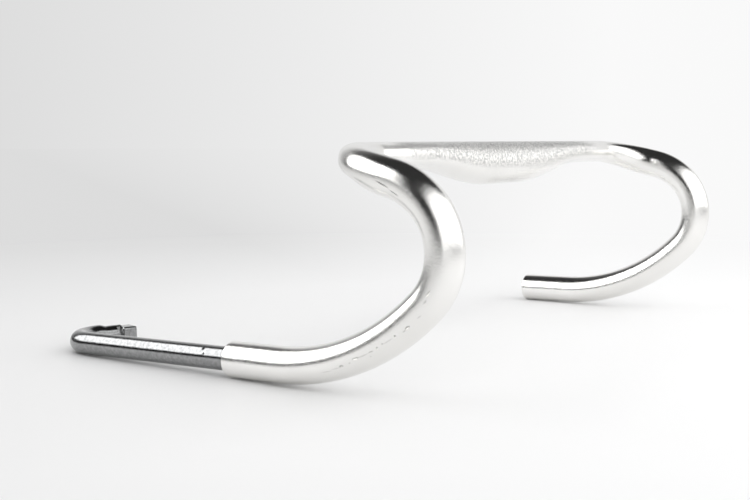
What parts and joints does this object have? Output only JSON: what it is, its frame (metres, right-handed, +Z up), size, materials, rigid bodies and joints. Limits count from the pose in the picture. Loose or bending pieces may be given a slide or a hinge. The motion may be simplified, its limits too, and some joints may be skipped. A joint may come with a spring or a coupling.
{
  "type": "drop handlebar with hooked end rod",
  "caption": "Silver aluminium road drop handlebar with flattened tops and round hooks, and a bent steel rod held in one drop end.",
  "frame": {"origin": "centre of the round seat for the stem, in the middle of the bar", "axes": "+X along the tops to the rider's left, +Y to the rear towards the rider, +Z up"},
  "size_m": [0.4612, 0.3358, 0.1533],
  "materials": {
    "bar": "satin silver with a fine grain",
    "hook_rod": "polished, slightly darkened",
    "rod_bush": "plain"
  },
  "bodies": {
    "root": {"bar": "bar", "hook_rod": "hook_rod", "rod_bush": "rod_bush"}
  },
  "joints": []
}
